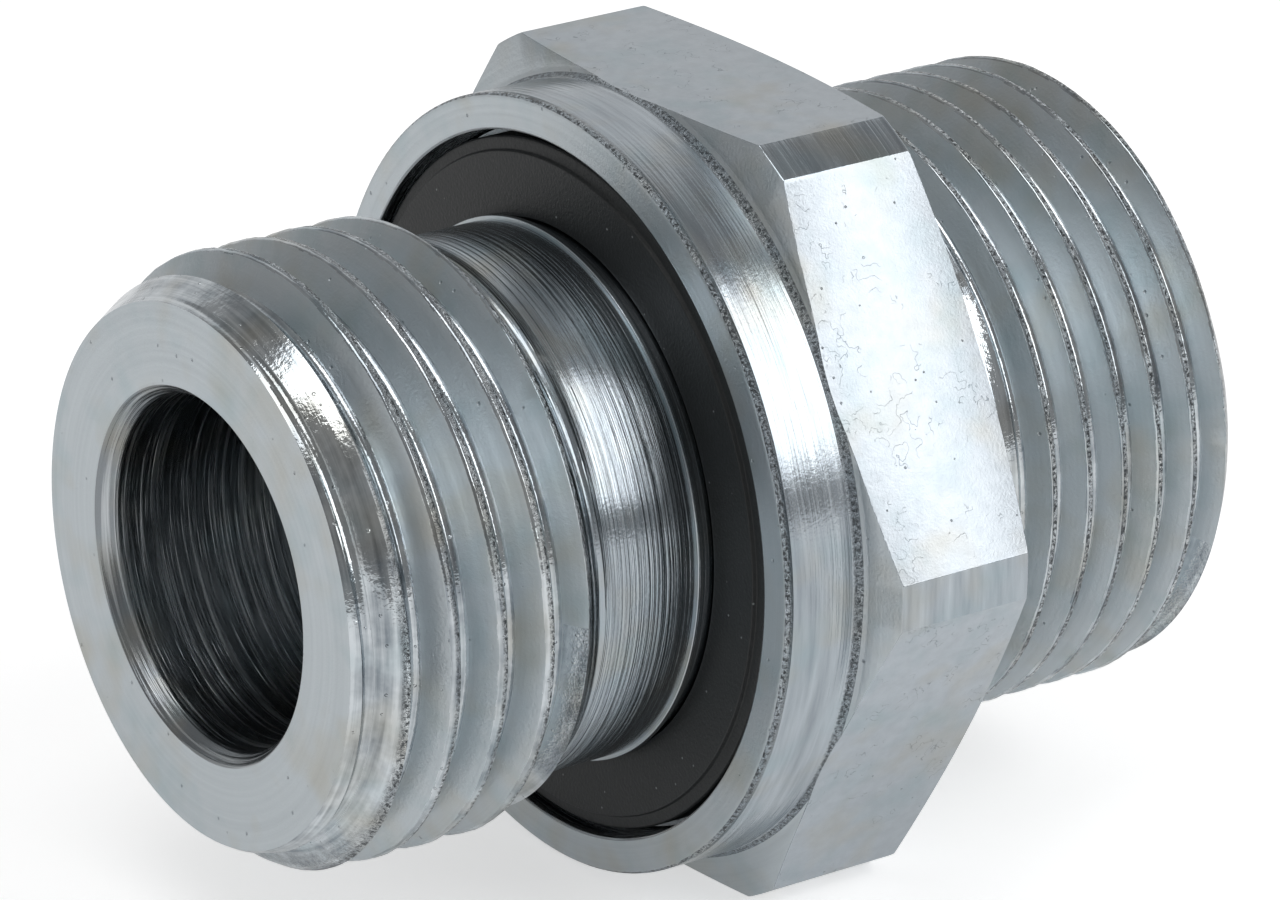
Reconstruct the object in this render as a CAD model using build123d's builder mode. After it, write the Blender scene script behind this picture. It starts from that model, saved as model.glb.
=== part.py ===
from build123d import *
import os
from math import cos, radians, tan

os.makedirs("parts", exist_ok=True)

# Male stud coupling for a 15 mm tube. Its axis lies along X: the stud points to -X and the
# tube end to +X. The origin is on the axis, in the plane of the collar's sealing face.
# The coupling lies on one flat of its hexagon, so the opposite flat is level on top.

# Stud end, pipe thread G 1/2 A
stud_length = 14.0
stud_major_d = 20.85
stud_pitch = 1.814
stud_half_angle = 27.5
stud_thread_depth = 1.162
stud_face_above_root = 0.05
stud_chamfer_angle = 30.0
stud_crest_from_end = 1.0
stud_runout_from_seat = 5.5
stud_runout_angle = 30.0

# How far the thread's ridge is rooted in its core, and its trimming outline clears its crests
ridge_rooting = 0.12
crest_clearance = 0.05

# Hexagon, turned at its corners and chamfered at both ends
hex_across_flats = 27.0
hex_corner_cut = 0.44
hex_length = 6.2
hex_chamfer_angle = 15.0
hex_rear_face_inset = 0.75

# Collar, with the groove for the seal ring and the land that keeps the ring on
collar_below_flats = 0.05
collar_length = 3.0
groove_lip = 1.25
groove_depth = 1.6
seat_below_major = 1.275
land_height = 0.225
land_length = 0.25
land_from_seat = 0.32

# Tube that the coupling is made for, and its wall, which leaves the flow bore
tube_d = 15.0
tube_wall = 1.5

# Tube end. Its fine thread, M22 x 1.5 for this tube, isn't cut here: the end has the thread's
# outside diameter, and the relief behind it has the diameter of its root.
tube_end_length = 20.8
thread_over_tube = 7.0
tube_thread_depth = 0.92
tube_thread_from_hex = 3.3
tube_relief_angle = 45.0
tube_end_chamfer = 0.6

# Passage: flow bore, socket that the tube stops in, and the 24 degree cone
bore_mouth_chamfer = 0.45
tube_stop_depth = 7.0
socket_play = 0.1
cone_over_tube = 2.0
cone_half_angle = 12.0

# Seal ring, an elastomer profile ring that seats on the groove's floor. Its outer edge is
# stepped back over a share of its width.
seal_clearance = 0.05
seal_outer_clearance = 0.25
seal_below_seat = 0.1
seal_step_share = 0.18
seal_step_depth = 0.2


def slope_length(rise, angle):
    """Length along the axis of a cone that rises by rise at angle to the axis."""
    return rise / tan(radians(angle))


def half_section(points):
    """Closed outline of (x, radius) points, to be revolved about the axis."""
    with BuildSketch(Plane.XY) as section:
        with BuildLine():
            Polyline(*points, close=True)
        make_face()
    return section.sketch


# Stud: radii of its thread, and where the chamfer and the run-out leave the crests
stud_major_r = stud_major_d / 2
stud_root_r = stud_major_r - stud_thread_depth
stud_floor_r = stud_root_r - 2 * ridge_rooting
stud_face_r = stud_root_r + stud_face_above_root
outline_r = stud_major_r + crest_clearance
chamfer_x = slope_length(outline_r - stud_face_r, stud_chamfer_angle) - stud_length
runout_x = -stud_runout_from_seat - slope_length(crest_clearance, stud_runout_angle)
runout_end_x = runout_x + slope_length(outline_r - stud_floor_r, stud_runout_angle)
stud_outline = [
    (-stud_length, stud_floor_r),
    (-stud_length, stud_face_r),
    (chamfer_x, outline_r),
    (runout_x, outline_r),
    (runout_end_x, stud_floor_r),
]

# Profile of the ridge: its crest and the root beside it have flats of the same width
flank_slope = tan(radians(stud_half_angle))
crest_flat = stud_pitch / 2 - stud_thread_depth * flank_slope
foot = crest_flat / 2 + (stud_thread_depth + ridge_rooting) * flank_slope
helix_start_x = stud_crest_from_end - stud_length - 2 * stud_pitch

# Stud thread, a right-hand ridge with a crest on the top line, trimmed to the turned outline
with BuildPart() as stud_thread:
    with BuildLine() as lead:
        Helix(
            pitch=stud_pitch,
            height=runout_end_x + stud_pitch - helix_start_x,
            radius=stud_root_r,
            center=(helix_start_x, 0, 0),
            direction=(1, 0, 0),
        )
    with BuildSketch(Plane(origin=lead.line @ 0, x_dir=(1, 0, 0), z_dir=(0, -1, 0))):
        with BuildLine():
            Polyline(
                (-foot, -ridge_rooting),
                (-crest_flat / 2, stud_thread_depth),
                (crest_flat / 2, stud_thread_depth),
                (foot, -ridge_rooting),
                close=True,
            )
        make_face()
    sweep(path=lead.line, is_frenet=True)
    revolve(half_section(stud_outline), axis=Axis.X, mode=Mode.INTERSECT)

# Radii and places along the axis of the other forms
hex_r = hex_across_flats / 2
corner_r = hex_r / cos(radians(30)) - hex_corner_cut
rear_face_r = hex_r - hex_rear_face_inset
collar_r = hex_r - collar_below_flats
groove_r = collar_r - groove_lip
seat_r = stud_major_r - seat_below_major
land_r = seat_r + land_height
tube_major_r = (tube_d + thread_over_tube) / 2
tube_root_r = tube_major_r - tube_thread_depth
bore_r = tube_d / 2 - tube_wall
socket_r = (tube_d + socket_play) / 2
cone_mouth_r = (tube_d + cone_over_tube) / 2
chamfer_slope = tan(radians(hex_chamfer_angle))
hex_rear_x = collar_length + hex_length
land_front_x = -land_from_seat - land_length
tube_thread_x = hex_rear_x + tube_thread_from_hex
relief_x = tube_thread_x - slope_length(tube_thread_depth, tube_relief_angle)
tube_stop_x = tube_end_length - tube_stop_depth
cone_start_x = tube_end_length - slope_length(cone_mouth_r - socket_r, cone_half_angle)

# Body: the hexagon first, then the turned core, the stud's thread and the passage
with BuildPart() as body:
    hex_blank = half_section(
        [
            (collar_length, 0),
            (collar_length, collar_r),
            (collar_length + (corner_r - collar_r) * chamfer_slope, corner_r),
            (hex_rear_x - (corner_r - rear_face_r) * chamfer_slope, corner_r),
            (hex_rear_x, rear_face_r),
            (hex_rear_x, 0),
        ]
    )
    revolve(hex_blank, axis=Axis.X)
    with BuildSketch(Plane.YZ.offset(collar_length)):
        RegularPolygon(hex_r, side_count=6, major_radius=False)
    extrude(amount=hex_length, mode=Mode.INTERSECT)
    core = half_section(
        [
            (-stud_length, 0),
            (-stud_length, stud_root_r),
            (land_front_x, stud_root_r),
            (land_front_x, land_r),
            (-land_from_seat, land_r),
            (-land_from_seat, seat_r),
            (groove_depth, seat_r),
            (groove_depth, groove_r),
            (0, groove_r),
            (0, collar_r),
            (collar_length, collar_r),
            (collar_length, tube_root_r),
            (relief_x, tube_root_r),
            (tube_thread_x, tube_major_r),
            (tube_end_length - tube_end_chamfer, tube_major_r),
            (tube_end_length, tube_major_r - tube_end_chamfer),
            (tube_end_length, 0),
        ]
    )
    revolve(core, axis=Axis.X)
    add(stud_thread.part)
    passage = half_section(
        [
            (-stud_length, 0),
            (-stud_length, bore_r + bore_mouth_chamfer),
            (bore_mouth_chamfer - stud_length, bore_r),
            (tube_stop_x, bore_r),
            (tube_stop_x, socket_r),
            (cone_start_x, socket_r),
            (tube_end_length, cone_mouth_r),
            (tube_end_length, 0),
        ]
    )
    revolve(passage, axis=Axis.X, mode=Mode.SUBTRACT)

# Seal ring, with its face just below the collar's
seal_inner_r = seat_r + seal_clearance
seal_outer_r = groove_r - seal_outer_clearance
seal_step_r = seal_outer_r - seal_step_share * (seal_outer_r - seal_inner_r)
seal_step_x = seal_below_seat + seal_step_depth
with BuildPart() as seal_ring:
    seal_profile = half_section(
        [
            (groove_depth, seal_inner_r),
            (seal_below_seat, seal_inner_r),
            (seal_below_seat, seal_step_r),
            (seal_step_x, seal_step_r),
            (seal_step_x, seal_outer_r),
            (groove_depth, seal_outer_r),
        ]
    )
    revolve(seal_profile, axis=Axis.X)

body.part.label = "body"
export_step(body.part, "parts/body.step")
seal_ring.part.label = "seal_ring"
export_step(seal_ring.part, "parts/seal_ring.step")
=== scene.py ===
import bmesh
import bpy
from math import atan2, cos, hypot, pi, radians, sin, tan
from mathutils import Matrix, Vector, noise

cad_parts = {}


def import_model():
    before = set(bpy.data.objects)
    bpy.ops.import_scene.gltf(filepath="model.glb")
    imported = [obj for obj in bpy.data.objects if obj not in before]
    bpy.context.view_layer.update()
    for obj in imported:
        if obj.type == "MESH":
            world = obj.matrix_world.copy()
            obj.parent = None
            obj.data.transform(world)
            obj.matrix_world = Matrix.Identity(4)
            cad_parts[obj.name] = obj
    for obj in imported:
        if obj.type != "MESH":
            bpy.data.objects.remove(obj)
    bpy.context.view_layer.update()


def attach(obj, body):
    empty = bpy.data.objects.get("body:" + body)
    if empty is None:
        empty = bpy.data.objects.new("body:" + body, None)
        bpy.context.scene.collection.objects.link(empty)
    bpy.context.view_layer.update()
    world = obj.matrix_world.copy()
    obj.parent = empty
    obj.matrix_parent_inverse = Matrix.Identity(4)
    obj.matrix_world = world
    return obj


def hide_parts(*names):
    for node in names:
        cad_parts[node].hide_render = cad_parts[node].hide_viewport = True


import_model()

# All shapes are drawn in millimetres and brought to metres when a piece is finished. The axis
# of the coupling is X: the stud points to -X, and x = 0 is the collar's sealing face.
MM = 0.001
AXIS = Vector((1, 0, 0))

# Camera, fitted to the photograph. The image is 1280 x 900 pixels.
IMAGE_WIDTH = 1280
FOCAL_PIXELS = 7515
SENSOR_WIDTH = 36
CAMERA_PLACE = Vector((-132.37, -192.89, 95.82))
CAMERA_RIGHT = Vector((0.81869, -0.57420, 0.00643))
CAMERA_FORWARD = Vector((0.53439, 0.75772, -0.37455))

# Stud thread G 1/2 A
STUD_END_X = -14.0
STUD_MAJOR_R = 10.425
STUD_NECK_R = 9.25
STUD_FACE_R = 9.2
STUD_CHAMFER_X = -11.88
STUD_PITCH = 1.814
STUD_HALF_ANGLE = 27.5
STUD_CREST_FLAT = 0.29
STUD_CREST_ROUNDING = 0.12
STUD_ROOT_ROUNDING = 0.23
STUD_CREST_X = -13.0
STUD_RUNOUT_X = -5.8
STUD_RUNOUT_END_X = -4.25
STUD_JOIN_X = -3.9

# Collar with the seal's groove, and the land in front of the groove
LAND_R = 9.375
LAND_FRONT_X = -0.57
LAND_BACK_X = -0.32
SEAT_R = 9.15
GROOVE_R = 12.2
GROOVE_DEPTH = 1.6
COLLAR_R = 13.45
COLLAR_LENGTH = 3.0

# Hexagon 27 mm across flats
HEX_FLAT_R = 13.5
HEX_CORNER_R = 15.15
HEX_REAR_X = 9.2
HEX_REAR_R = 12.75
HEX_CHAMFER_ANGLE = 15.0
HEX_EDGE_BREAK = 0.07

# Tube end, thread M22 x 1.5
TUBE_END_X = 20.8
TUBE_MAJOR_R = 11.0
TUBE_ROOT_R = 10.08
TUBE_FACE_R = 10.45
TUBE_PITCH = 1.5
TUBE_HALF_ANGLE = 30.0
TUBE_CREST_FLAT = 0.2
TUBE_CREST_ROUNDING = 0.07
TUBE_ROOT_ROUNDING = 0.19
TUBE_CREST_X = 0.56
TUBE_THREAD_X = 12.5
TUBE_JOIN_X = 11.4

# Gap between a thread and the shape next to it, closed by a plain band
JOIN_GAP = 0.5

# Passage
BORE_R = 6.0
BORE_MOUTH_R = 6.4
BORE_MOUTH_LENGTH = 0.56
TUBE_STOP_X = 13.8
SOCKET_R = 7.55
CONE_START_X = 16.33
CONE_MOUTH_R = 8.5

# Seal ring in the groove, with its outer edge stepped back
SEAL_INNER_R = 9.2
SEAL_FRONT_X = 0.1
SEAL_STEP_R = 11.45
SEAL_STEP_X = 0.3
SEAL_OUTER_R = 11.95

# Torn metal of the thread crests, from just before the crest's middle to a little behind it,
# and the nicks in it
TORN_FROM = -0.06
TORN_TO = 0.36
TORN_DEPTH = 0.3
TURNED_OFF_DEPTH = 0.4
TURNED_OFF_TORN = 0.5
CREST_BAND = 0.12
BURRS_PER_MM = 2.6
NICKS_PER_MM = 0.9
NICK_THRESHOLD = 0.35

# Mesh density: steps round the axis and in a rounded edge, the points that keep a wide face
# flat beside a rounded edge, and how near points are welded
THREAD_STEPS = 240
TURN_STEPS = 192
ROUND_STEPS = 3
SUPPORT = 0.04
WIDE = 0.3
WELD = 0.003
SHARP_ANGLE = 24

# How a face of the body is told apart: the corners that only a flat of the hexagon has, the part
# of its normal that points away from the axis in the passage, and along the axis at an end face
FLAT_CORNERS = 8
FACING_IN = -0.2
FACING_END = 0.85


# Outlines

def rounded(corners):
    """Outline with its corners rounded. A corner is (x, radius) or (x, radius, rounding).
    Points at the support distance keep the faces beside a corner flat where they are wide."""
    points = []
    for i, corner in enumerate(corners):
        here = Vector(corner[:2])
        if len(corner) == 2 or i in (0, len(corners) - 1):
            points.append(here)
            continue
        before = (Vector(corners[i - 1][:2]) - here).normalized()
        after = (Vector(corners[i + 1][:2]) - here).normalized()
        half = before.angle(after) / 2
        reach = corner[2] / tan(half)
        middle = here + (before + after).normalized() * (corner[2] / sin(half))
        start = here + before * reach - middle
        end = here + after * reach - middle
        if (Vector(corners[i - 1][:2]) - here).length > reach + WIDE:
            points.append(here + before * (reach + SUPPORT))
        for step in range(ROUND_STEPS + 1):
            share = step / ROUND_STEPS
            points.append(middle + start.lerp(end, share).normalized() * corner[2])
        if (Vector(corners[i + 1][:2]) - here).length > reach + WIDE:
            points.append(here + after * (reach + SUPPORT))
    return points


def thread_profile(major_r, root_r, pitch, half_angle, crest_flat, crest_round, root_round):
    """One pitch of a thread's outline, from the middle of one root to the next."""
    flank = (major_r - root_r) * tan(radians(half_angle))
    crest = crest_flat / 2
    return rounded(
        [
            (-pitch / 2, root_r),
            (-crest - flank, root_r, root_round),
            (-crest, major_r, crest_round),
            (crest, major_r, crest_round),
            (crest + flank, root_r, root_round),
            (pitch / 2, root_r),
        ]
    )


def level(outline, x):
    """Radius of an outline at x, between its points."""
    before = outline[0]
    for point in outline[1:]:
        if x <= point[0]:
            share = (x - before[0]) / max(point[0] - before[0], 1e-9)
            return before[1] + (point[1] - before[1]) * min(max(share, 0), 1)
        before = point
    return before[1]


# Turned shapes

def chain(bm, points):
    """Edges through the points of an outline, in the plane above the axis."""
    verts = [bm.verts.new((x, 0, r)) for x, r in points]
    return [bm.edges.new(pair) for pair in zip(verts, verts[1:])]


def turn(bm, points):
    """Outline turned once round the axis."""
    edges = chain(bm, points)
    bmesh.ops.spin(
        bm, geom=edges, cent=(0, 0, 0), axis=AXIS, angle=2 * pi, steps=TURN_STEPS, use_merge=True
    )


def cut_square(bm, x, keep_above):
    """Cuts everything off on one side of x."""
    geometry = bm.verts[:] + bm.edges[:] + bm.faces[:]
    bmesh.ops.bisect_plane(
        bm,
        geom=geometry,
        dist=1e-6,
        plane_co=(x, 0, 0),
        plane_no=AXIS,
        clear_outer=not keep_above,
        clear_inner=keep_above,
    )


def screw_thread(profile, pitch, crest_x, start_x, end_x, outline):
    """Right-hand thread from start_x to end_x, turned down to an outline. Its crest crosses
    the top line at crest_x."""
    bm = bmesh.new()
    turns_before = int((crest_x - start_x) / pitch) + 2
    turns = turns_before + int((end_x - crest_x) / pitch) + 1
    points = []
    for number in range(turns):
        shift = crest_x + (number - turns_before) * pitch
        points += [(p[0] + shift, p[1]) for p in profile[:-1]]
    points.append((points[0][0] + turns * pitch, points[0][1]))
    edges = chain(bm, points)
    bmesh.ops.spin(
        bm,
        geom=edges,
        cent=(0, 0, 0),
        axis=AXIS,
        dvec=AXIS * (pitch / THREAD_STEPS),
        angle=2 * pi,
        steps=THREAD_STEPS,
    )
    bmesh.ops.remove_doubles(bm, verts=bm.verts, dist=WELD)
    cut_square(bm, start_x, keep_above=True)
    cut_square(bm, end_x, keep_above=False)
    torn = bm.verts.layers.float.new("torn")
    for vert in bm.verts:
        radius = hypot(vert.co.y, vert.co.z)
        around = atan2(-vert.co.y, vert.co.z) / (2 * pi)
        behind = (vert.co.x - crest_x - around * pitch + pitch / 2) % pitch - pitch / 2
        limit = level(outline, vert.co.x)
        vert[torn] = tornness(behind, radius - limit)
        scale = min(1, limit / radius)
        vert.co.y *= scale
        vert.co.z *= scale
    return bm


def tornness(behind, cut):
    """How torn the metal is: most on the crest and just behind it, and some where the crest is
    turned off."""
    if TORN_FROM < behind < TORN_TO:
        return 1.0
    return min(max(cut, 0) / TURNED_OFF_DEPTH, TURNED_OFF_TORN)


def roughen_crests(bm, crest_r, height, seed):
    """Small nicks and burrs that the thread die leaves along the crests, above crest_r."""
    torn = bm.verts.layers.float["torn"]
    for vert in bm.verts:
        radius = hypot(vert.co.y, vert.co.z)
        vert[torn] *= min(max((radius - crest_r + TORN_DEPTH) / 0.1, 0), 1)
        share = min(max((radius - crest_r) / CREST_BAND, 0), 1)
        if share > 0:
            tear = noise.noise(vert.co * BURRS_PER_MM + Vector((seed, 0, 0)))
            spread = noise.noise(vert.co * NICKS_PER_MM + Vector((0, seed, 0)))
            nick = max(spread - NICK_THRESHOLD, 0)
            scale = 1 + share * (height * (tear - 0.5) - 2 * height * nick) / radius
            vert.co.y *= scale
            vert.co.z *= scale


def stud_thread():
    profile = thread_profile(
        STUD_MAJOR_R,
        STUD_NECK_R,
        STUD_PITCH,
        STUD_HALF_ANGLE,
        STUD_CREST_FLAT,
        STUD_CREST_ROUNDING,
        STUD_ROOT_ROUNDING,
    )
    outline = rounded(
        [
            (STUD_END_X, STUD_FACE_R),
            (STUD_CHAMFER_X, STUD_MAJOR_R, 0.3),
            (STUD_RUNOUT_X, STUD_MAJOR_R, 0.15),
            (STUD_RUNOUT_END_X, STUD_NECK_R, 0.6),
            (STUD_JOIN_X + 1, STUD_NECK_R),
        ]
    )
    bm = screw_thread(profile, STUD_PITCH, STUD_CREST_X, STUD_END_X, STUD_JOIN_X, outline)
    roughen_crests(bm, STUD_MAJOR_R - CREST_BAND, height=0.03, seed=3)
    return bm


def tube_thread():
    profile = thread_profile(
        TUBE_MAJOR_R,
        TUBE_ROOT_R,
        TUBE_PITCH,
        TUBE_HALF_ANGLE,
        TUBE_CREST_FLAT,
        TUBE_CREST_ROUNDING,
        TUBE_ROOT_ROUNDING,
    )
    outline = rounded(
        [
            (TUBE_JOIN_X - 1, TUBE_ROOT_R),
            (TUBE_THREAD_X - TUBE_MAJOR_R + TUBE_ROOT_R, TUBE_ROOT_R, 0.3),
            (TUBE_THREAD_X, TUBE_MAJOR_R, 0.1),
            (TUBE_END_X - TUBE_MAJOR_R + TUBE_FACE_R, TUBE_MAJOR_R, 0.1),
            (TUBE_END_X + 1, TUBE_FACE_R - 1),
        ]
    )
    bm = screw_thread(profile, TUBE_PITCH, TUBE_CREST_X, TUBE_JOIN_X, TUBE_END_X, outline)
    roughen_crests(bm, TUBE_MAJOR_R - 0.1, height=0.025, seed=8)
    return bm


def collar_and_hexagon():
    """From the stud's neck to the tube end's neck, with the six flats cut."""
    slope = tan(radians(HEX_CHAMFER_ANGLE))
    front_x = COLLAR_LENGTH + (HEX_CORNER_R - COLLAR_R) * slope
    rear_x = HEX_REAR_X - (HEX_CORNER_R - HEX_REAR_R) * slope
    bm = bmesh.new()
    turn(
        bm,
        rounded(
            [
                (STUD_JOIN_X + JOIN_GAP, STUD_NECK_R),
                (LAND_FRONT_X, STUD_NECK_R),
                (LAND_FRONT_X, LAND_R, 0.05),
                (LAND_BACK_X, LAND_R, 0.05),
                (LAND_BACK_X, SEAT_R, 0.03),
                (GROOVE_DEPTH, SEAT_R, 0.1),
                (GROOVE_DEPTH, GROOVE_R, 0.1),
                (0, GROOVE_R, 0.08),
                (0, COLLAR_R, 0.16),
                (COLLAR_LENGTH, COLLAR_R, 0.4),
                (front_x, HEX_CORNER_R, 0.06),
                (rear_x, HEX_CORNER_R, 0.06),
                (HEX_REAR_X, HEX_REAR_R, 0.1),
                (HEX_REAR_X, TUBE_ROOT_R, 0.3),
                (TUBE_JOIN_X - JOIN_GAP, TUBE_ROOT_R),
            ]
        ),
    )
    cut_edges = []
    for side in range(6):
        outward = Vector((0, -sin(side * pi / 3), cos(side * pi / 3)))
        geometry = bm.verts[:] + bm.edges[:] + bm.faces[:]
        cut = bmesh.ops.bisect_plane(
            bm,
            geom=geometry,
            dist=1e-6,
            plane_co=outward * HEX_FLAT_R,
            plane_no=outward,
            clear_outer=True,
        )["geom_cut"]
        edges = [e for e in cut if isinstance(e, bmesh.types.BMEdge)]
        bmesh.ops.edgeloop_fill(bm, edges=edges)
        cut_edges += edges
    bmesh.ops.bevel(
        bm,
        geom=[e for e in cut_edges if e.is_valid],
        offset=HEX_EDGE_BREAK,
        segments=2,
        profile=0.5,
        affect="EDGES",
        material=-1,
        clamp_overlap=True,
    )
    return bm


def passage():
    """From the stud's end face through the bore to the tube end's face."""
    bm = bmesh.new()
    turn(
        bm,
        rounded(
            [
                (STUD_END_X, STUD_FACE_R - 0.15),
                (STUD_END_X, BORE_MOUTH_R, 0.12),
                (STUD_END_X + BORE_MOUTH_LENGTH, BORE_R, 0.3),
                (TUBE_STOP_X, BORE_R, 0.15),
                (TUBE_STOP_X, SOCKET_R, 0.2),
                (CONE_START_X, SOCKET_R, 0.2),
                (TUBE_END_X, CONE_MOUTH_R, 0.12),
                (TUBE_END_X, TUBE_ROOT_R - 0.15),
            ]
        ),
    )
    return bm


# Joining and finishing

def merge(target, source):
    """Adds the geometry of source to target."""
    part = bpy.data.meshes.new("part")
    source.to_mesh(part)
    source.free()
    target.from_mesh(part)
    bpy.data.meshes.remove(part)


def open_rings(bm, x, reach):
    """Edges of the open rims that lie within reach of x."""
    return [
        e for e in bm.edges if e.is_boundary and all(abs(v.co.x - x) < reach for v in e.verts)
    ]


def bridge(bm, x):
    """Closes the gap between two open rims near x."""
    bmesh.ops.bridge_loops(bm, edges=open_rings(bm, x, 1.1 * JOIN_GAP))
    bmesh.ops.recalc_face_normals(bm, faces=bm.faces)


def face_off(bm, x):
    """Fills the flat ring between the two open rims in the plane at x."""
    rims = open_rings(bm, x, 0.01)
    bmesh.ops.triangle_fill(bm, use_beauty=True, use_dissolve=False, edges=rims, normal=AXIS)
    bmesh.ops.recalc_face_normals(bm, faces=bm.faces)


def piece(name, bm, materials, kind=None):
    """Finished piece in metres, riding on the coupling, with each face's material by its kind."""
    bmesh.ops.recalc_face_normals(bm, faces=bm.faces)
    if kind:
        for face in bm.faces:
            face.material_index = kind(face)
    bmesh.ops.scale(bm, vec=(MM, MM, MM), verts=bm.verts)
    mesh = bpy.data.meshes.new(name)
    bm.to_mesh(mesh)
    bm.free()
    mesh.set_sharp_from_angle(angle=radians(SHARP_ANGLE))
    thing = bpy.data.objects.new(name, mesh)
    bpy.context.scene.collection.objects.link(thing)
    for material in materials:
        mesh.materials.append(material)
    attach(thing, "root")
    return thing


# Colours and nodes

def linear(hex_colour):
    """sRGB hex value as linear colour."""
    channels = [int(hex_colour[i : i + 2], 16) / 255 for i in (1, 3, 5)]
    return [c / 12.92 if c <= 0.04045 else ((c + 0.055) / 1.055) ** 2.4 for c in channels] + [1]


def add(tree, kind, inputs=None, **settings):
    """Adds one node with its settings, and links or sets its inputs."""
    node = tree.nodes.new(kind)
    for name, value in settings.items():
        setattr(node, name, value)
    for name, value in (inputs or {}).items():
        socket = node.inputs[name]
        if isinstance(value, bpy.types.NodeSocket):
            tree.links.new(value, socket)
        else:
            socket.default_value = value
    return node


def empty_tree(owner):
    """Node tree of a material or world, with no nodes yet."""
    owner.use_nodes = True
    owner.node_tree.nodes.clear()
    return owner.node_tree


def finish(name):
    """New material and its empty node tree."""
    material = bpy.data.materials.new(name)
    return material, empty_tree(material)


# Patterns in the finishes. Places and lengths are in millimetres.

def places(f):
    """Place on the coupling, its distance along the axis and its radius."""
    metres = add(f, "ShaderNodeTexCoord").outputs["Object"]
    place = add(f, "ShaderNodeVectorMath", {0: metres, "Scale": 1000}, operation="SCALE").outputs[0]
    off_axis = add(f, "ShaderNodeVectorMath", {0: place, 1: (0, 1, 1)}, operation="MULTIPLY")
    radius = add(f, "ShaderNodeVectorMath", {0: off_axis.outputs[0]}, operation="LENGTH")
    along = add(f, "ShaderNodeSeparateXYZ", {0: place}).outputs["X"]
    return place, along, radius.outputs["Value"]


def tool_marks(f, place, across, spacing, length):
    """Uneven lines that run round the axis, one to two spacings apart. Each changes over a
    length of its run."""
    per_length = (0, 1 / length, 1 / length)
    slow = add(f, "ShaderNodeVectorMath", {0: place, 1: per_length}, operation="MULTIPLY")
    step = add(f, "ShaderNodeMath", {0: across, 1: 1 / spacing}, operation="MULTIPLY")
    quick = add(f, "ShaderNodeCombineXYZ", {"X": step.outputs[0]})
    where = add(
        f, "ShaderNodeVectorMath", {0: slow.outputs[0], 1: quick.outputs[0]}, operation="ADD"
    )
    return add(
        f,
        "ShaderNodeTexNoise",
        {"Vector": where.outputs[0], "Scale": 1.0, "Detail": 3.0, "Roughness": 0.6},
    ).outputs["Fac"]


def grain(f, place, size, detail=2.0):
    """Cloudy noise with patches of a size."""
    return add(
        f,
        "ShaderNodeTexNoise",
        {"Vector": place, "Scale": 1 / size, "Detail": detail, "Roughness": 0.6},
    ).outputs["Fac"]


def specks(f, place, apart, size, share):
    """Round spots of a size in a share of the cells of a loose grid."""
    cell = add(f, "ShaderNodeTexVoronoi", {"Vector": place, "Scale": 1 / apart}).outputs
    spot = add(
        f,
        "ShaderNodeMapRange",
        {"Value": cell["Distance"], "From Min": size / apart, "From Max": size / apart / 2},
    ).outputs[0]
    number = add(f, "ShaderNodeSeparateColor", {0: cell["Color"]}).outputs[0]
    chosen = add(f, "ShaderNodeMath", {0: number, 1: share}, operation="LESS_THAN").outputs[0]
    return add(f, "ShaderNodeMath", {0: spot, 1: chosen}, operation="MULTIPLY").outputs[0]


def scaled(f, value, low, high, start=0.0, end=1.0):
    """Value brought from the range start to end into the range low to high."""
    return add(
        f,
        "ShaderNodeMapRange",
        {"Value": value, "From Min": start, "From Max": end, "To Min": low, "To Max": high},
    ).outputs[0]


def total(f, *heights):
    """Sum of several values."""
    height = heights[0]
    for other in heights[1:]:
        height = add(f, "ShaderNodeMath", {0: height, 1: other}, operation="ADD").outputs[0]
    return height


def passivated(f, place, light, dark, shade):
    """Zinc colour, mixed by shade from light to dark, with the faint straw and teal tints of a
    clear passivation in patches 3 mm across."""
    zinc = add(
        f,
        "ShaderNodeMix",
        {"Factor": shade, "A": linear(light), "B": linear(dark)},
        data_type="RGBA",
    )
    straw = scaled(f, grain(f, place, 3.0), 0, 0.35, 0.5, 0.72)
    warm = add(
        f,
        "ShaderNodeMix",
        {"Factor": straw, "A": zinc.outputs["Result"], "B": linear("#b3aa93")},
        data_type="RGBA",
    )
    shifted = add(f, "ShaderNodeVectorMath", {0: place, 1: (17, 5, 9)}, operation="ADD").outputs[0]
    teal = scaled(f, grain(f, shifted, 2.2), 0, 0.3, 0.5, 0.75)
    return add(
        f,
        "ShaderNodeMix",
        {"Factor": teal, "A": warm.outputs["Result"], "B": linear("#93adb3")},
        data_type="RGBA",
    ).outputs["Result"]


def torn_up(f, place, torn, colour, height):
    """Colour and height with the metal torn up by the cutting edge where torn is high: a grain
    of raised crumbs, darkened with painted shade where they are low. The real grain is about
    0.05 mm. It is drawn at 0.12 mm, because finer wouldn't show."""
    crumbs = grain(f, place, 0.12, 3.0)
    # Painted shade: the metal is darkened where the crumbs are low.
    crumb_painted_shade = add(
        f,
        "ShaderNodeMath",
        {0: torn, 1: scaled(f, crumbs, 1, 0, 0.4, 0.55)},
        operation="MULTIPLY",
    ).outputs[0]
    burr = add(
        f, "ShaderNodeMath", {0: torn, 1: scaled(f, crumbs, 0, 0.3)}, operation="MULTIPLY"
    ).outputs[0]
    colour = add(
        f,
        "ShaderNodeMix",
        {"Factor": crumb_painted_shade, "A": colour, "B": linear("#4e5255")},
        data_type="RGBA",
    ).outputs["Result"]
    return colour, total(f, height, burr)


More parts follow.
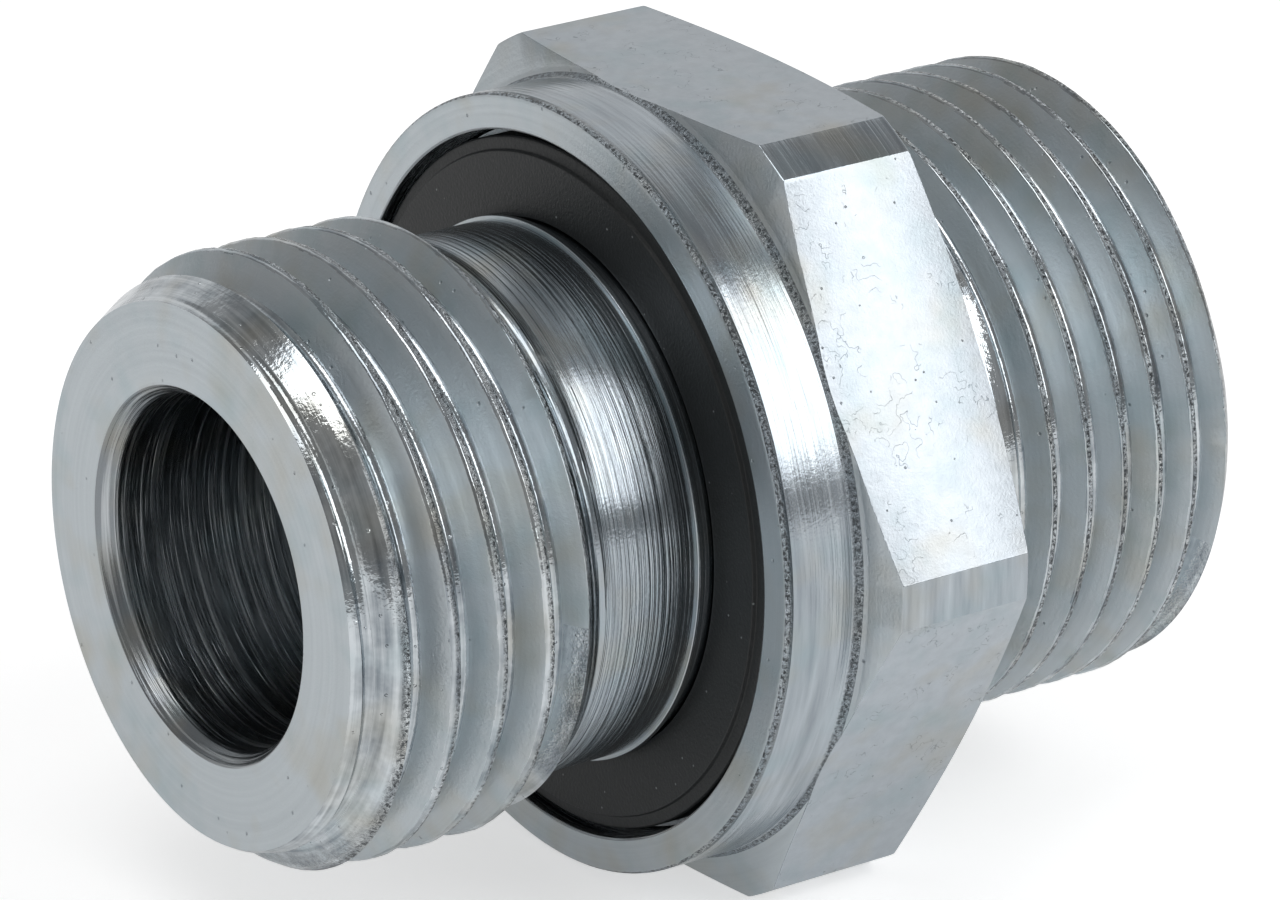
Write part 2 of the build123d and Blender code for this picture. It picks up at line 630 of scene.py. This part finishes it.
def plated(f, colour, roughness, height):
    """Metal shader with a surface height in millimetres."""
    bump = {"Strength": 1.0, "Distance": MM, "Height": height}
    normal = add(f, "ShaderNodeBump", bump).outputs[0]
    shader = add(
        f,
        "ShaderNodeBsdfPrincipled",
        {"Base Color": colour, "Metallic": 1.0, "Roughness": roughness, "Normal": normal},
    )
    add(f, "ShaderNodeOutputMaterial", {"Surface": shader.outputs[0]})


# Materials

def zinc_plated_turned_steel():
    """Bar steel turned with a feed of about 0.1 mm, then zinc plated: clear rings round the
    axis under a bright, slightly soft gloss. Most rings are drawn up to twice as far apart,
    because finer ones wouldn't show."""
    material, f = finish("zinc_plated_turned_steel")
    place, along, radius = places(f)
    feed = tool_marks(f, place, along, 0.11, 14.0)
    bands = tool_marks(f, place, along, 0.5, 5.0)
    colour = passivated(f, place, "#bcc4ca", "#99a1a8", scaled(f, bands, 0, 1, 0.3, 0.7))
    roughness = scaled(f, feed, 0.12, 0.27, 0.3, 0.7)
    height = total(f, scaled(f, feed, 0, 0.024), scaled(f, grain(f, place, 0.15), 0, 0.006))
    outside = scaled(f, radius, 0, 1, COLLAR_R - 0.25, COLLAR_R - 0.15)
    from_rim = add(f, "ShaderNodeMath", {0: along}, operation="ABSOLUTE").outputs[0]
    rim = add(
        f,
        "ShaderNodeMath",
        {0: outside, 1: scaled(f, from_rim, 1, 0, 0.15, 0.3)},
        operation="MULTIPLY",
    ).outputs[0]
    behind = add(
        f, "ShaderNodeMath", {0: along, 1: COLLAR_LENGTH - 0.1}, operation="SUBTRACT"
    ).outputs[0]
    from_corner = add(f, "ShaderNodeMath", {0: behind}, operation="ABSOLUTE").outputs[0]
    torn = total(f, rim, scaled(f, from_corner, 0.8, 0, 0.1, 0.22))
    colour, height = torn_up(f, place, torn, colour, height)
    plated(f, colour, roughness, height)
    return material


def zinc_plated_cut_thread():
    """Die cut thread, zinc plated: smooth and bright in its roots and on its flanks, torn and
    sparkling on the crests, where the attribute torn is high."""
    material, f = finish("zinc_plated_cut_thread")
    place, along, _ = places(f)
    smooth_marks = tool_marks(f, place, along, 0.22, 7.0)
    cloud = grain(f, place, 1.1, 3.0)
    streaks = scaled(f, smooth_marks, -0.5, 0.5, 0.3, 0.7)
    shade = total(f, scaled(f, cloud, 0, 0.7, 0.3, 0.7), streaks)
    colour = passivated(f, place, "#d2d8dc", "#848c93", shade)
    dots = specks(f, place, 0.45, 0.07, 0.4)
    height = total(
        f,
        scaled(f, smooth_marks, 0, 0.012),
        scaled(f, dots, 0, 0.03),
        scaled(f, grain(f, place, 0.2), 0, 0.012),
    )
    torn = add(f, "ShaderNodeAttribute", attribute_name="torn").outputs["Fac"]
    colour, height = torn_up(f, place, torn, colour, height)
    plated(f, colour, scaled(f, cloud, 0.08, 0.16, 0.35, 0.65), height)
    return material


def zinc_plated_faced_steel():
    """End faces, faced off in the lathe and zinc plated: satin, with faint rings about the
    axis and a few small pits."""
    material, f = finish("zinc_plated_faced_steel")
    place, _, radius = places(f)
    rings = tool_marks(f, place, radius, 0.16, 12.0)
    pits = specks(f, place, 0.7, 0.07, 0.4)
    shade = total(f, scaled(f, rings, 0, 0.12, 0.3, 0.7), scaled(f, pits, 0, 0.9))
    colour = passivated(f, place, "#c3cace", "#9aa2a8", shade)
    height = total(
        f,
        scaled(f, rings, 0, 0.006),
        scaled(f, pits, 0, -0.03),
        scaled(f, grain(f, place, 0.12, 3.0), 0, 0.014),
    )
    plated(f, colour, scaled(f, rings, 0.36, 0.44, 0.3, 0.7), height)
    return material


def bored_steel():
    """Bored passage with feed lines up to 0.3 mm apart, thinly plated and dark inside. The ridges
    of the feed lines are coloured lighter, as a painted highlight.
    """
    material, f = finish("bored_steel")
    place, along, _ = places(f)
    feed = tool_marks(f, place, along, 0.16, 9.0)
    feed_ridge_and_highlight = scaled(f, feed, 0, 1, 0.5, 0.7)
    # Painted highlight: the ridges of the feed lines are coloured lighter. Their roughness follows
    # the same ridges.
    colour = passivated(f, place, "#8a8f93", "#d0d5d8", feed_ridge_and_highlight)
    plated(f, colour, scaled(f, feed_ridge_and_highlight, 0.22, 0.4), scaled(f, feed, 0, 0.07))
    return material


def zinc_plated_drawn_steel():
    """Flats of the cold drawn hexagon bar, zinc plated: satin with small pits and fine worm-like
    pickling marks."""
    material, f = finish("zinc_plated_drawn_steel")
    place, _, _ = places(f)
    bend = add(
        f, "ShaderNodeTexNoise", {"Vector": place, "Scale": 1.6, "Detail": 2.0}
    ).outputs["Fac"]
    worm = add(f, "ShaderNodeMath", {0: bend, 1: 0.5, 2: 0.006}, operation="COMPARE").outputs[0]
    patch = scaled(f, grain(f, place, 1.3), 0, 1, 0.55, 0.6)
    worms = add(f, "ShaderNodeMath", {0: worm, 1: patch}, operation="MULTIPLY").outputs[0]
    pits = specks(f, place, 0.6, 0.05, 0.4)
    shade = total(f, scaled(f, grain(f, place, 0.5, 3.0), 0, 0.2, 0.35, 0.65), worms, pits)
    colour = passivated(f, place, "#bcc3c9", "#8f979e", shade)
    height = total(
        f,
        scaled(f, worms, 0, -0.02),
        scaled(f, pits, 0, -0.03),
        scaled(f, grain(f, place, 0.1, 3.0), 0, 0.01),
    )
    plated(f, colour, 0.4, height)
    return material


def nitrile_rubber_moulded():
    """Black nitrile rubber, moulded in a smooth tool: matte with a soft sheen, a fine skin and
    grey dust specks."""
    material, f = finish("nitrile_rubber_moulded")
    place, _, _ = places(f)
    dust = specks(f, place, 0.7, 0.05, 0.35)
    colour = add(
        f,
        "ShaderNodeMix",
        {"Factor": dust, "A": linear("#1b1e1f"), "B": linear("#85898a")},
        data_type="RGBA",
    ).outputs["Result"]
    skin = grain(f, place, 0.12, 3.0)
    normal = add(
        f,
        "ShaderNodeBump", {"Strength": 1.0, "Distance": MM, "Height": scaled(f, skin, 0, 0.02)}
    ).outputs[0]
    shader = add(
        f,
        "ShaderNodeBsdfPrincipled",
        {"Base Color": colour, "Roughness": scaled(f, skin, 0.42, 0.6), "Normal": normal},
    )
    add(f, "ShaderNodeOutputMaterial", {"Surface": shader.outputs[0]})
    return material


# Parts of the body, in the order of their materials
TURNED, THREAD, FACED, BORED, FLAT = range(5)


def surface_kind(face):
    """How a face of the body was made."""
    middle = face.calc_center_median()
    outward = Vector((0, middle.y, middle.z)).normalized().dot(face.normal)
    if len(face.verts) >= FLAT_CORNERS:
        return FLAT
    if outward < FACING_IN:
        return BORED
    if abs(face.normal.x) > FACING_END:
        return FACED
    if middle.x < STUD_RUNOUT_END_X - 0.4 or middle.x > TUBE_THREAD_X - 0.9:
        return THREAD
    return TURNED


# Pieces

def body():
    bm = stud_thread()
    merge(bm, collar_and_hexagon())
    bridge(bm, STUD_JOIN_X)
    merge(bm, tube_thread())
    bridge(bm, TUBE_JOIN_X)
    merge(bm, passage())
    face_off(bm, STUD_END_X)
    face_off(bm, TUBE_END_X)
    materials = [
        zinc_plated_turned_steel(),
        zinc_plated_cut_thread(),
        zinc_plated_faced_steel(),
        bored_steel(),
        zinc_plated_drawn_steel(),
    ]
    thing = piece("coupling_body", bm, materials, surface_kind)
    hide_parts("body")


def seal_ring():
    bm = bmesh.new()
    edge = rounded(
        [
            (1.0, SEAL_INNER_R),
            (SEAL_FRONT_X, SEAL_INNER_R, 0.15),
            (SEAL_FRONT_X, SEAL_STEP_R, 0.05),
            (SEAL_STEP_X - 0.05, SEAL_STEP_R + 0.05, 0.05),
            (SEAL_STEP_X, SEAL_OUTER_R, 0.12),
            (GROOVE_DEPTH, SEAL_OUTER_R, 0.1),
            (GROOVE_DEPTH, SEAL_INNER_R, 0.1),
            (1.0, SEAL_INNER_R),
        ]
    )
    turn(bm, edge)
    bmesh.ops.remove_doubles(bm, verts=bm.verts, dist=1e-4)
    thing = piece("profile_seal_ring", bm, [nitrile_rubber_moulded()])
    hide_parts("seal_ring")


# Surroundings. The table glows for the camera, so that it is white, and less in the metal.

GLOW_IN_VIEW = 0.55
GLOW_IN_METAL = 0.3
SOFTBOX_DISTANCE = 0.5


def camera():
    data = bpy.data.cameras.new("camera")
    data.sensor_fit = "HORIZONTAL"
    data.sensor_width = SENSOR_WIDTH
    data.lens = FOCAL_PIXELS / IMAGE_WIDTH * SENSOR_WIDTH
    data.clip_start = 0.01
    thing = bpy.data.objects.new("camera", data)
    forward = CAMERA_FORWARD.normalized()
    right = (CAMERA_RIGHT - forward * CAMERA_RIGHT.dot(forward)).normalized()
    up = right.cross(forward)
    turn_to = Matrix((right, up, -forward)).transposed()
    thing.matrix_world = Matrix.Translation(CAMERA_PLACE * MM) @ turn_to.to_4x4()
    bpy.context.scene.collection.objects.link(thing)
    bpy.context.scene.camera = thing


def floor():
    bm = bmesh.new()
    bmesh.ops.create_grid(bm, x_segments=1, y_segments=1, size=1.5)
    bmesh.ops.translate(bm, verts=bm.verts, vec=(0, 0, -HEX_FLAT_R * MM))
    mesh = bpy.data.meshes.new("floor")
    bm.to_mesh(mesh)
    bm.free()
    thing = bpy.data.objects.new("floor", mesh)
    bpy.context.scene.collection.objects.link(thing)
    material, f = finish("white_table")
    path = add(f, "ShaderNodeLightPath").outputs
    mirrored = add(
        f, "ShaderNodeMath", {0: path["Is Glossy Ray"], 1: GLOW_IN_METAL}, operation="MULTIPLY"
    ).outputs[0]
    lift = add(
        f,
        "ShaderNodeMath",
        {0: path["Is Camera Ray"], 1: GLOW_IN_VIEW, 2: mirrored},
        operation="MULTIPLY_ADD",
    ).outputs[0]
    cloth = add(f, "ShaderNodeBsdfDiffuse", {"Color": linear("#e6e6e6")}).outputs[0]
    glow = add(f, "ShaderNodeEmission", {"Strength": lift}).outputs[0]
    both = add(f, "ShaderNodeAddShader", {0: cloth, 1: glow}).outputs[0]
    add(f, "ShaderNodeOutputMaterial", {"Surface": both})
    mesh.materials.append(material)


def softbox(name, direction, width, height, brightness):
    """Soft light that faces the coupling from a direction. Its mirror image has the brightness."""
    data = bpy.data.lights.new(name, "AREA")
    data.shape = "RECTANGLE"
    data.size = width
    data.size_y = height
    data.energy = brightness * pi * width * height
    thing = bpy.data.objects.new(name, data)
    away = Vector(direction).normalized()
    thing.location = away * SOFTBOX_DISTANCE
    thing.rotation_euler = away.to_track_quat("Z", "Y").to_euler()
    bpy.context.scene.collection.objects.link(thing)


def wall(f, direction, toward, edge, brightness):
    """Soft bright wall of the studio in a direction. It fades in between the two values of edge,
    which are cosines to its middle, and brightness gives its dark and bright ends."""
    facing = add(
        f, "ShaderNodeVectorMath", {0: direction, 1: toward}, operation="DOT_PRODUCT"
    ).outputs["Value"]
    return add(
        f,
        "ShaderNodeMapRange",
        {
            "Value": facing,
            "From Min": edge[0],
            "From Max": edge[1],
            "To Min": brightness[0],
            "To Max": brightness[1],
        },
        interpolation_type="SMOOTHSTEP",
    ).outputs["Result"]


def world():
    """Studio that is bright behind the coupling and low on its stud side, and dim elsewhere.
    The camera sees it white."""
    studio = bpy.data.worlds.new("studio")
    bpy.context.scene.world = studio
    f = empty_tree(studio)
    direction = add(f, "ShaderNodeTexCoord").outputs["Generated"]
    back = wall(f, direction, (0.576, 0.817, 0), (0.45, 0.75), (0.36, 0.9))
    side = wall(f, direction, (-0.995, 0.1, 0), (0.9, 1.0), (0.0, 0.8))
    walls = total(f, back, side)
    from_camera = add(f, "ShaderNodeLightPath").outputs["Is Camera Ray"]
    seen = add(f, "ShaderNodeMix", {"Factor": from_camera, "A": walls, "B": 1.0}).outputs["Result"]
    background = add(f, "ShaderNodeBackground", {"Strength": seen}).outputs[0]
    add(f, "ShaderNodeOutputWorld", {"Surface": background})


body()
seal_ring()
camera()
floor()
world()
softbox("key_softbox", (0.534, -0.65, 0.54), 0.36, 0.4, 2.6)
softbox("top_softbox", (-0.3, -0.1, 0.95), 0.3, 0.3, 2.2)
bpy.context.scene.view_settings.view_transform = "Standard"
